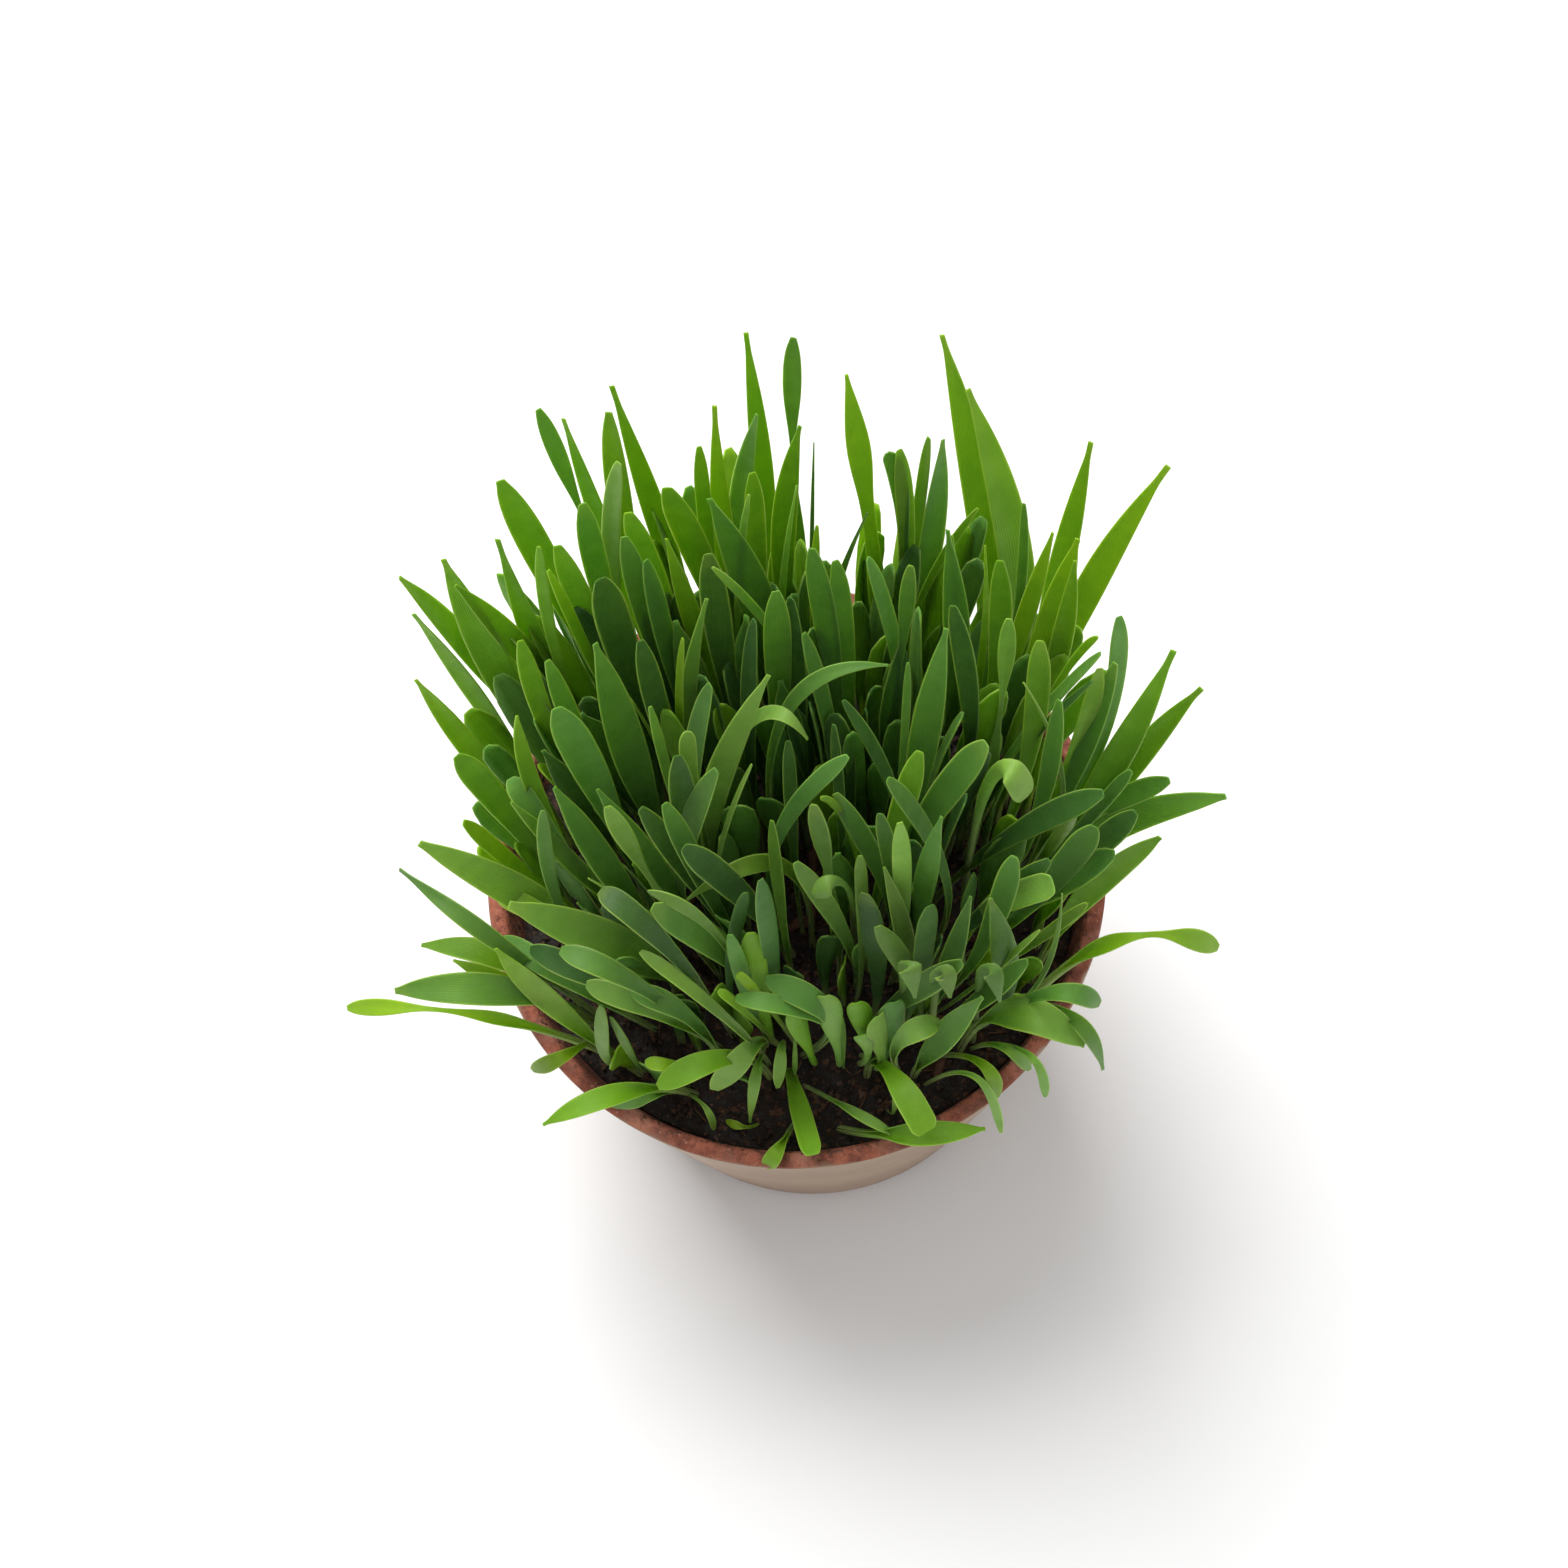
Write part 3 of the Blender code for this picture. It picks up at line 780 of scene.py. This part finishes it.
# %% List the modelled shoots
SHOOTS = {
    "left": [
        ((-38, 18), (-49, 25, 72), (-52, 29, 100), 6.5, "S", "point"),
        ((-42, 13), (-55, 24, 66), (-59, 24, 91), 3.6, "L", "spire"),
        ((-43, 5), (-56, 12, 65), (-60, 13, 88), 4.2, "Y", "point"),
        ((-28, 33), (-38, 39, 84), (-41, 42, 101), 6, "S"),
        ((-33, 25), (-42, 31, 78), (-43, 34, 95), 4.8, "S", "spire"),
        ((-29, -3), (-34, 0, 78), (-36, 1, 95), 6.6, "G"),
        ((-42, -5), (-52, 1, 65), (-55, 1, 81), 5.2, "S"),
        ((-38, -14), (-54, -12, 56), (-64, -10, 71), 6.8, "L", "oval"),
        ((-22, 3), (-27, 6, 76), (-28, 9, 101), 7.2, "G", "point"),
    ],
    "back": [
        ((-23, 39), (-31, 50, 89), (-33, 53, 104), 3.4, "G", "spoon"),
        ((-17, 33), (-22, 46, 80), (-21, 50, 105), 4.6, "S"),
        ((-11, 41), (-18, 51, 86), (-20, 55, 105), 4.6, "S", "spire"),
        ((-2, 37), (-4, 46, 88), (-3, 49, 104), 4.2, "Y", "spire"),
        ((2, 45), (4, 57, 84), (4, 60, 108), 4.2, "S", "spire"),
        ((10, 42), (10, 55, 80), (12, 59, 106), 3.6, "G", "spoon"),
        ((6, 33), (8, 43, 84), (11, 44, 102), 4.8, "S", "point"),
        ((21, 34), (21, 44, 86), (20, 51, 105), 5.4, "Y", "lens"),
        ((-2, 23), (-2, 31, 80), (-6, 33, 101), 7.2, "G", "point"),
        ((-14, 17), (-20, 25, 82), (-21, 27, 103), 4.8, "G"),
    ],
    "right": [
        ((34, 34), (42, 38, 70), (37, 55, 107), 6.4, "S", "point"),
        ((37, 25), (46, 31, 74), (40, 45, 105), 6.8, "S", "point"),
        ((23, 29), (27, 36, 87), (25, 37, 101), 3.6, "G"),
        ((44, 21), (58, 34, 80), (60, 36, 97), 4.8, "Y", "spire"),
        ((46, 13), (64, 29, 70), (73, 32, 92), 5.6, "Y", "spire"),
        ((40, 8), (52, 17, 76), (55, 19, 95), 6, "Y", "point"),
        ((28, 17), (34, 18, 79), (33, 21, 101), 5.2, "G", "point"),
        ((33, -1), (40, 3, 72), (41, 5, 97), 3.2, "L", "spoon"),
        ((40, -8), (54, -6, 68), (58, -3, 91), 4, "G"),
        ((46, -2), (63, -3, 64), (69, 1, 84), 5.6, "S", "spire"),
        ((47, -11), (65, -4, 55), (73, -5, 80), 5, "S", "spire"),
        ((44, -21), (64, -14, 49), (76, -19, 64), 6.2, "G", "oval"),
        ((41, -27), (58, -22, 46), (64, -23, 59), 5.4, "S", "oval"),
    ],
    "middle": [
        ((0, 8), (2, 13, 80), (3, 14, 101), 5.2, "G"),
        ((11, 14), (11, 18, 81), (10, 20, 103), 4.6, "G"),
        ((20, -4), (26, -2, 74), (30, 2, 103), 5.6, "G", "point"),
        ((-13, -8), (-7, -4, 85), (0, -2, 103), 5.2, "L", "point"),
        ((-3, 1), (6, 0, 92), (20, 0, 96), 2.8, "G", "point"),
        ((-2, -15), (5, -15, 85), (11, -17, 100), 3.2, "G"),
        ((16, -22), (18, -28, 74), (18, -27, 93), 3.6, "L"),
        ((23, -18), (23, -27, 76), (25, -27, 93), 4.2, "G", "point"),
        ((-8, -25), (-6, -33, 67), (-6, -31, 86), 4, "D"),
    ],
    "front": [
        ((-27, -18), (-41, -23, 55), (-50, -22, 67), 8, "L", "oval"),
        ((-42, -22), (-56, -29, 44), (-74, -27, 45), 6.2, "G", "oval"),
        ((-38, -30), (-62, -30, 36), (-85, -24, 31), 3.4, "Y", "spoon"),
        ((-33, -35), (-48, -29, 36), (-54, -26, 57), 5, "Y", "point"),
        ((-14, -24), (-19, -29, 61), (-25, -29, 75), 6, "G"),
        ((-18, -36), (-25, -36, 42), (-32, -34, 48), 4.4, "G"),
        ((-24, -39), (-38, -46, 27), (-52, -49, 24), 4.4, "S", "point"),
        ((-10, -38), (-19, -44, 33), (-30, -47, 31), 5, "S"),
        ((-4, -34), (1, -41, 46), (-8, -36, 50), 5, "G"),
        ((-5, -42), (-5, -51, 12), (-4, -59, 15), 4.2, "S", "blunt"),
        ((1, -49), (13, -58, 17), (28, -59, 17), 4.8, "S", "point"),
        ((8, -40), (12, -49, 27), (17, -61, 27), 5.6, "S", "blunt"),
        ((17, -41), (23, -47, 40), (29, -47, 57), 5.2, "G", "point"),
        ((26, -38), (37, -45, 38), (47, -51, 34), 7, "L", "oval"),
        ((30, -24), (38, -31, 62), (43, -34, 73), 5, "L", "blunt"),
        ((38, -32), (58, -36, 46), (74, -36, 33), 4.2, "Y", "spoon"),
    ],
}

print("shoots in each place", {place: len(shoots) for place, shoots in SHOOTS.items()})

# %% Grow the modelled shoots
TINT_SPREAD = 0.1
WARM_SPREAD = 0.06
DRY_SHARES = [0, 0, 0, 0, 0.15]
dice = random.Random(7)


def own_tint(tone, light=1.0):
    """A tone with a small random shift, because no two leaves match; light scales it as painted
    light or shade.
    """
    shift = dice.uniform(-TINT_SPREAD, TINT_SPREAD)
    warm = dice.uniform(-WARM_SPREAD, WARM_SPREAD)
    red, green, blue = (value * light for value in TONES[tone])
    return red * (1 + shift + warm), green * (1 + shift), blue * (1 + shift - warm)


def sunk(x, y):
    """The point where a shoot starts, a little under the shown soil."""
    return Vector((x, y, soil_top(x, y) - FOOT_DEPTH))


def above_soil(point):
    """A point listed as x, y and height above the soil, in metres."""
    return Vector(point) * MM + Vector((0, 0, SOIL_LEVEL))


for place, shoots in SHOOTS.items():
    for k, (foot, middle, tip, width, tone, *form) in enumerate(shoots, start=1):
        bm = bmesh.new()
        grow_blade(bm, sunk(foot[0] * MM, foot[1] * MM), above_soil(middle), above_soil(tip),
                   width * MM, own_tint(tone), *form, turn=radians(dice.uniform(-14, 14)),
                   twist=radians(dice.uniform(-24, 24)), facing=0.75, columns=6, rows=18,
                   tip_dryness=dice.choice(DRY_SHARES),
                   wave=dice.uniform(0, 0.25) * MM)
        blade = finished(bm, f"blade_{place}_{k:02d}", oat_leaf,
                         [f"shoot_{place}_{k:02d}"])
        thickened(blade)
print("modelled shoots", sum(len(shoots) for shoots in SHOOTS.values()))

# %% [markdown]
# ## More blades from the photo
# The pot holds far more shoots than the solid model. Those that the photo shows clearly are
# listed here: the tip's pixel and its height above the rim in millimetres, a lower pixel on
# the same blade, then width, tone and form. The lower point's height follows from the
# distance, unless it is given. The foot lies further down the line, or under a last pixel.

# %% Write the placing of a traced blade
DROP = 0.34
STRAIGHTEN = 0.35
PULL_IN = 0.78
STEP_LIMIT = 6 * MM
FOOT_LIMIT = 47 * MM


def traced_line(tip_at, low_at, base=None):
    """Foot, middle and tip from (x, y, height) of the tip and of a lower pixel."""
    tip = photo_point(tip_at[:2], tip_at[2])
    gap = hypot(tip_at[0] - low_at[0], tip_at[1] - low_at[1])
    low_height = low_at[2] if len(low_at) > 2 else tip_at[2] - DROP * gap
    low = photo_point(low_at[:2], low_height)
    if base:
        foot = photo_point(base, -9)
    else:
        left = (low.z - SOIL_LEVEL) / max(tip.z - low.z, 10 * MM)
        step = (low - tip) * left * STRAIGHTEN
        step.z = 0
        foot = low * PULL_IN + step * min(1.0, STEP_LIMIT / max(step.length, MM))
    inside = min(1.0, FOOT_LIMIT / max(hypot(foot.x, foot.y), MM))
    return sunk(foot.x * inside, foot.y * inside), low, tip


# %% List the traced blades
TRACED = {
    "back_left": [
        ((455, 585, 88), (520, 648), 5, "S", "point"),
        ((399, 577, 90), (453, 632), 5.8, "S", "point"),
        ((539, 546, 92), (555, 650), 2.5, "S"), ((548, 570, 92), (568, 612), 2.6, "Y"),
        ((563, 418, 96), (585, 480), 3.8, "S", "spire"), ((619, 462, 94), (613, 580), 4, "L"),
        ((582, 503, 93), (605, 600), 4.8, "G"), ((557, 545, 90), (590, 620), 4.8, "S"),
        ((628, 512, 91), (655, 580), 5, "S"), ((520, 640, 84), (545, 720), 4, "S"),
        ((547, 660, 86), (575, 730), 4.2, "G"),
    ],
    "back": [
        ((699, 446, 96), (705, 520), 3, "S"), ((757, 414, 95), (740, 510), 4.8, "G", "point"),
        ((814, 442, 94), (812, 530), 1, "D", "spire"), ((667, 487, 92), (703, 565), 6.2, "S"),
        ((752, 472, 92), (757, 560), 4.2, "S"), ((666, 538, 90), (690, 610), 4.2, "Y", "point"),
        ((708, 553, 91), (735, 720), 5.4, "D"), ((712, 567, 95), (762, 617), 1.8, "L"),
        ((797, 485, 94), (785, 560), 1.5, "L", "spire"), ((749, 494, 93), (742, 540), 1.6, "L"),
        ((817, 525, 88), (815, 575), 1.8, "Y"), ((868, 512, 90), (843, 570), 1.6, "D", "spire"),
        ((645, 560, 90), (665, 640), 4.6, "G"), ((835, 560, 88), (845, 640), 4, "G"),
    ],
    "back_right": [
        ((943, 439, 95), (925, 580), 5.2, "G", "point"), ((929, 437, 94), (922, 490), 2.8, "S"),
        ((899, 449, 94), (905, 510), 3.6, "S"), ((1053, 532, 92), (1025, 620), 3.8, "Y", "point"),
        ((1024, 503, 92), (1020, 600), 2, "G"), ((978, 508, 90), (950, 545), 1.6, "S"),
        ((985, 545, 90), (985, 620), 1.6, "Y", "spire"),
        ((952, 535, 90), (956, 610), 2.4, "S", "point"),
        ((867, 558, 91), (893, 640), 4, "G"), ((911, 565, 91), (892, 720), 3.2, "G", "spoon"),
        ((1000, 560, 90), (1000, 640), 4.4, "S"), ((1075, 560, 88), (1060, 650), 4.2, "Y", "point"),
    ],
    "right": [
        ((953, 605, 91), (970, 700), 4.4, "D"), ((1119, 616, 88), (1085, 780), 3.6, "G"),
        ((1098, 637, 85), (1070, 665), 1.6, "Y"), ((1101, 653, 86), (1045, 710), 2.6, "G"),
        ((1093, 681, 82), (1055, 715), 1.6, "D"), ((1100, 668, 82), (1080, 740), 3.6, "S"),
        ((1131, 770, 66), (1105, 800), 2.6, "G"), ((1170, 780, 58), (1118, 800), 4.2, "G"),
        ((1136, 812, 62), (1080, 860), 5, "D"), ((1104, 793, 72), (1005, 840), 5, "D"),
        ((1095, 826, 64), (1048, 885), 5.4, "G"), ((1115, 855, 58), (1030, 900), 6.6, "D"),
        ((1050, 860, 66), (1005, 895), 4.2, "D"), ((1015, 856, 68), (1000, 905), 4.6, "G"),
        ((987, 743, 84), (940, 800), 5.8, "G"),
        ((1027, 797, 75), (1005, 768, 81), 5.4, "L", "blunt", (962, 900)),
        ((920, 751, 84), (905, 800), 4.6, "S"), ((887, 779, 82), (925, 830), 3.8, "G"),
        ((908, 662, 88), (906, 710), 1.6, "G"), ((843, 700, 84), (885, 770), 2.6, "D"),
        ((1023, 682, 84), (1055, 745), 1.2, "L", "spire"), ((1060, 700, 82), (1050, 770), 4.2, "G"),
        ((1040, 640, 88), (1035, 720), 4.4, "S"),
    ],
    "centre": [
        ((600, 578, 92), (640, 700), 6.8, "D"), ((650, 706, 86), (665, 765), 2.2, "L"),
        ((707, 598, 93), (688, 690), 3.4, "L", "spire"), ((683, 638, 88), (680, 680), 2, "Y"),
        ((711, 685, 88), (695, 750), 5.2, "G"), ((688, 731, 86), (690, 770), 3.2, "L"),
        ((678, 755, 84), (685, 810), 5, "D"), ((717, 770, 84), (695, 815), 5.2, "G"),
        ((752, 764, 82), (727, 825), 1.5, "L"),
        ((808, 740, 80), (772, 712, 84), 3.2, "L", "point", (690, 850)),
        ((803, 633, 89), (820, 690), 3.8, "G"), ((834, 724, 80), (838, 770), 2.4, "D"),
        ((788, 740, 78), (790, 785), 2.6, "D"), ((597, 789, 78), (650, 860), 4.6, "G", "point"),
        ((607, 806, 81), (645, 870), 3.9, "L", "spoon"), ((664, 803, 80), (685, 845), 4.2, "G"),
        ((640, 808, 79), (680, 860), 4.6, "D"), ((683, 847, 76), (725, 880), 5.2, "D"),
        ((554, 787, 78), (605, 865), 5.8, "G", "point"),
        ((511, 802, 72), (590, 880), 3.8, "L", "point"),
        ((543, 810, 72), (545, 850), 2.8, "G"), ((463, 822, 62), (490, 845), 3.8, "Y"),
        ((588, 878, 66), (655, 918), 1.4, "L", "spire"), ((755, 620, 88), (750, 690), 4.6, "D"),
        ((792, 598, 86), (797, 680), 5.4, "D"), ((640, 640, 88), (655, 700), 4.6, "D"),
    ],
    "centre_right": [
        ((860, 855, 68), (862, 895), 2.4, "L"), ((795, 862, 66), (820, 895), 3.8, "L"),
        ((814, 804, 76), (830, 880), 4, "L", "spoon"), ((772, 820, 72), (778, 880), 2.6, "S"),
        ((687, 900, 50), (760, 862, 54), 3.6, "S", "point"), ((835, 793, 76), (870, 850), 3.8, "G"),
        ((820, 798, 78), (840, 812), 1.6, "Y"), ((880, 813, 76), (893, 870), 3.4, "G"),
        ((884, 867, 68), (905, 940), 3.8, "L", "point"),
        ((813, 896, 62), (836, 882, 65), 4.4, "L", "cup", (852, 940)),
        ((865, 893, 62), (872, 930), 4.8, "D"), ((877, 926, 58), (900, 958), 4.2, "L"),
        ((915, 998, 44), (909, 966, 54), 4.6, "L", "point", (900, 1045)),
        ((950, 998, 44), (943, 972, 54), 4.8, "L", "point", (930, 1045)),
        ((1000, 1002, 42), (990, 970, 52), 4.2, "L", "point", (975, 1045)),
        ((971, 896, 64), (955, 950), 4.2, "G", "point"),
        ((990, 898, 64), (1005, 955), 5.2, "G", "point"),
        ((1028, 962, 54), (1000, 985), 4.8, "G"), ((963, 962, 56), (925, 985), 4.8, "G"),
        ((1062, 893, 58), (1057, 935), 1.2, "L", "spire"), ((1087, 903, 54), (1058, 925), 2.4, "S"),
        ((1040, 930, 58), (1012, 955), 1.5, "L"), ((930, 905, 62), (925, 950), 4.4, "G"),
    ],
    "left_front": [
        ((399, 869, 46), (479, 929, 49), 3.6, "G", "spire"),
        ((421, 945, 36), (500, 957, 37), 5.6, "S", "point", (575, 1035)),
        ((453, 960, 32), (515, 988, 30), 3.8, "Y", "point", (585, 1042)),
        ((532, 1070, 5), (562, 1057, 14), 3.4, "Y", "round", (592, 1033)),
        ((602, 1006, 30), (602, 1048), 3.4, "L", "round", (603, 1078)),
        ((611, 1017, 26), (627, 1048), 2.4, "L", "round", (640, 1072)),
        ((586, 984, 40), (640, 1005, 36), 4.2, "L"), ((648, 892, 64), (690, 910, 62), 2.8, "L"),
        ((640, 951, 50), (707, 1002, 44), 3, "L"), ((560, 950, 52), (620, 975, 50), 4.4, "G"),
        ((600, 890, 66), (650, 930, 62), 4.6, "D"),
    ],
    "front": [
        ((735, 998, 40), (800, 1010, 38), 3.6, "G"), ((718, 990, 42), (735, 1003, 38), 2, "Y"),
        ((737, 974, 46), (752, 988, 42), 2.4, "Y"), ((730, 934, 56), (745, 985), 3.3, "G"),
        ((751, 932, 54), (760, 1000), 4.6, "S"), ((746, 892, 62), (735, 935), 2.8, "D"),
        ((645, 1062, 22), (672, 1066, 22), 2.8, "Y", "round", (700, 1060)),
        ((714, 1090, 11), (748, 1050, 22), 5.2, "L", "round", (765, 1040)),
        ((609, 1105, 1), (648, 1095, 6), 4.2, "G", "round", (672, 1090)),
        ((843, 1018, 24), (843, 1040), 1.2, "L", "round", (843, 1062)),
        ((795, 1030, 20), (795, 1050), 1.1, "L", "spire", (793, 1068)),
        ((895, 1085, 12), (895, 1104), 1.2, "L", "round", (894, 1125)),
        ((714, 1130, -6), (706, 1108, 0), 1.6, "L", "round", (665, 1093)),
        ((750, 1123, -4), (756, 1075, 14), 2.4, "L", "spire", (768, 1032)),
        ((778, 1088, 8), (781, 1052, 20), 2.6, "L", "round", (783, 1040)),
        ((726, 1121, -7.6), (745, 1127, -6.6), 1.8, "Y", "round", (758, 1131)),
        ((766, 1168, -2), (778, 1150, 3), 3.4, "Y", "round", (793, 1125)),
        ((908, 1143, 2), (860, 1115, 7), 2.4, "L", "spire", (798, 1075)),
        ((1045, 1097, 10), (1035, 1060, 27), 2, "L", "round", (1000, 1060)),
        ((1103, 1070, 10), (1082, 1026, 30), 3.2, "G", "spire", (1045, 1010)),
        ((1100, 1004, 30), (1062, 992, 38), 4, "G"),
        ((1001, 1133, -3), (978, 1078, 17), 2.1, "L", "round", (937, 1110)),
        ((997, 1098, 6), (987, 1068, 18), 3, "Y"),
        ((940, 1022, 30), (908, 1034, 31), 4.6, "L", "round", (900, 1070)),
        ((880, 1015, 34), (882, 1035), 6, "L", "cup"),
        ((865, 1034, 28), (868, 1050), 5.4, "L", "cup"),
        ((895, 1002, 36), (893, 1025), 6, "G", "cup"),
        ((856, 1003, 36), (862, 1022), 5.4, "S", "cup"),
        ((824, 996, 40), (832, 1027), 6, "L", "cup"),
        ((795, 1006, 36), (802, 1028), 5.4, "S", "cup"),
        ((1030, 1070, 12), (1010, 1050, 20), 2.6, "L", "round", (985, 1060)),
    ],
}

print("blades in each region", {region: len(blades) for region, blades in TRACED.items()})

# %% Grow the traced blades, one piece for each part of the pot
# Painted shade and light: each region's tints are darkened in the shaded middle and front, and
# lightened at the back left.
PAINTED_SHADE_AND_LIGHT = {"left_front": 0.78, "centre_right": 0.66, "centre": 0.84, "back_left": 1.1}


def grow_traced(region, blades):
    """Grow one region's traced blades as one piece."""
    bm = bmesh.new()
    for tip_at, low_at, width, tone, *more in blades:
        form, base = more[:1], more[1:]
        foot, low, tip = traced_line(tip_at, low_at, *base)
        tint = own_tint(tone, PAINTED_SHADE_AND_LIGHT.get(region, 1.0))
        grow_blade(bm, foot, low, tip, width * MM, tint, *form,
                   turn=radians(dice.uniform(-20, 20)), twist=radians(dice.uniform(-30, 30)),
                   facing=0.75, columns=4, rows=12, wave=dice.uniform(0, 0.2) * MM,
                   tip_dryness=dice.choice(DRY_SHARES))
    thickened(finished(bm, f"blades_{region}", oat_leaf))


for region, blades in TRACED.items():
    grow_traced(region, blades)
print("traced blades", sum(len(blades) for blades in TRACED.values()))

# %% [markdown]
# ## The crowd in between
# Many more shoots show only as tips, edges and dark stems. They are sown on a jittered grid,
# away from the modelled feet and the bare spots of soil. Each leans outwards a little, stays
# lower than the leaves around it and has only a few dozen faces.

# %% Sow the crowd
SOWING_STEP = 5.3 * MM
SOWING_JITTER = 0.3 * SOWING_STEP
SOWING_RADIUS = 49.5 * MM
KEEP_OFF = 2.2 * MM
SECTORS = 6
THIN_BELOW = 2 * MM
THIN_SHARE = 0.5
BARE_SPOTS = [((820, 1040), 7), ((885, 1070), 5), ((800, 1100), 7), ((845, 1110), 6),
              ((715, 1128), 7), ((580, 1035), 6), ((1077, 952), 5), ((970, 1095), 5),
              ((795, 930), 6), ((862, 790), 5), ((752, 830), 3), ((930, 1110), 5),
              ((834, 672), 5.5), ((578, 827), 2), ((592, 896), 2), ((948, 714), 2)]
SIDE_DROP = 0.32
CANOPY_BY_Y = [(-50, 16), (-40, 25), (-32, 40), (-22, 62), (-10, 82), (5, 95), (22, 96), (50, 82)]


def canopy(x, y):
    """Height of the leaves' tops above the soil, over a spot: low in front, lower at the side."""
    rows = CANOPY_BY_Y
    side = 1 - SIDE_DROP * soft_step(28 * MM, 46 * MM, abs(x)) * soft_step(24 * MM, -6 * MM, y)
    for (y_low, low), (y_high, high) in zip(rows, rows[1:]):
        if y <= y_high * MM:
            share = max(0.0, (y / MM - y_low) / (y_high - y_low))
            return (low + (high - low) * share) * side * MM
    return rows[-1][1] * side * MM


taken = [Vector((foot[0], foot[1])) * MM for shoots in SHOOTS.values() for foot, *_ in shoots]
bare = [(photo_point(pixel, -9).xy, radius * MM) for pixel, radius in BARE_SPOTS]
sowing = []
steps = ceil(SOWING_RADIUS / SOWING_STEP)
for row in range(-steps - 2, steps + 3):
    for column in range(-steps - 1, steps + 2):
        spot = Vector(((column + row % 2 / 2) * SOWING_STEP, row * SOWING_STEP * sqrt(3) / 2))
        spot += Vector((dice.uniform(-1, 1), dice.uniform(-1, 1))) * SOWING_JITTER
        free = all((spot - other).length > KEEP_OFF for other in taken)
        planted_here = all((spot - middle).length > radius for middle, radius in bare)
        thinned = spot.y < THIN_BELOW and dice.random() < THIN_SHARE
        if spot.length < SOWING_RADIUS and free and planted_here and not thinned:
            sowing.append(spot)
print("shoots sown", len(sowing))

# %% Grow the crowd
LEAN = 3.2
SWAY = 0.07
LIGHTER_TONES_FROM = 0.75
sectors = [bmesh.new() for _ in range(SECTORS)]
for spot in sowing:
    x, y = spot
    height = canopy(x, y) * dice.uniform(0.5, 0.82)
    lean = spot * height * LEAN
    sway = Vector((dice.uniform(-1, 1), dice.uniform(-1, 1))) * SWAY * height
    tip = Vector((x, y, SOIL_LEVEL + height))
    tip.xy += lean + sway
    middle = Vector((x, y, SOIL_LEVEL + height * 0.62))
    middle.xy += lean * 0.45 + sway * 0.4
    # The darker tones of the middle shoots are partly their own colour and partly painted shade of
    # the dense canopy.
    tone = dice.choice("DDGGS" if spot.length < LIGHTER_TONES_FROM * SOWING_RADIUS else "GGSSY")
    sector = int((atan2(y, x) + pi) / (2 * pi) * SECTORS) % SECTORS
    grow_blade(sectors[sector], sunk(x, y), middle, tip, dice.uniform(4.2, 7.0) * MM,
               own_tint(tone), dice.choice(["round", "round", "round", "point"]),
               turn=radians(dice.uniform(-50, 50)), twist=radians(dice.uniform(-40, 40)),
               facing=0.4, columns=3, rows=8)
for k, bm in enumerate(sectors, start=1):
    crowd = finished(bm, f"crowd_{k}", oat_leaf)
    thickened(crowd, rounded=False)
print("crowd pieces", len(sectors))

# %% Fill the left edge, where leaves hide the rim
LEFT_EDGE = [
    ((530, 949, 40), (590, 975, 38), 5.0, "D"),
    ((497, 893, 38), (555, 922, 34), 4.4, "S"),
    ((503, 938, 36), (560, 975, 34), 4.4, "G"),
    ((517, 715, 78), (530, 780, 66), 3.6, "S", "point"),
    ((510, 778, 66), (540, 820, 58), 4.4, "G"),
]
grow_traced("left_edge", LEFT_EDGE)
print("edge blades", len(LEFT_EDGE))
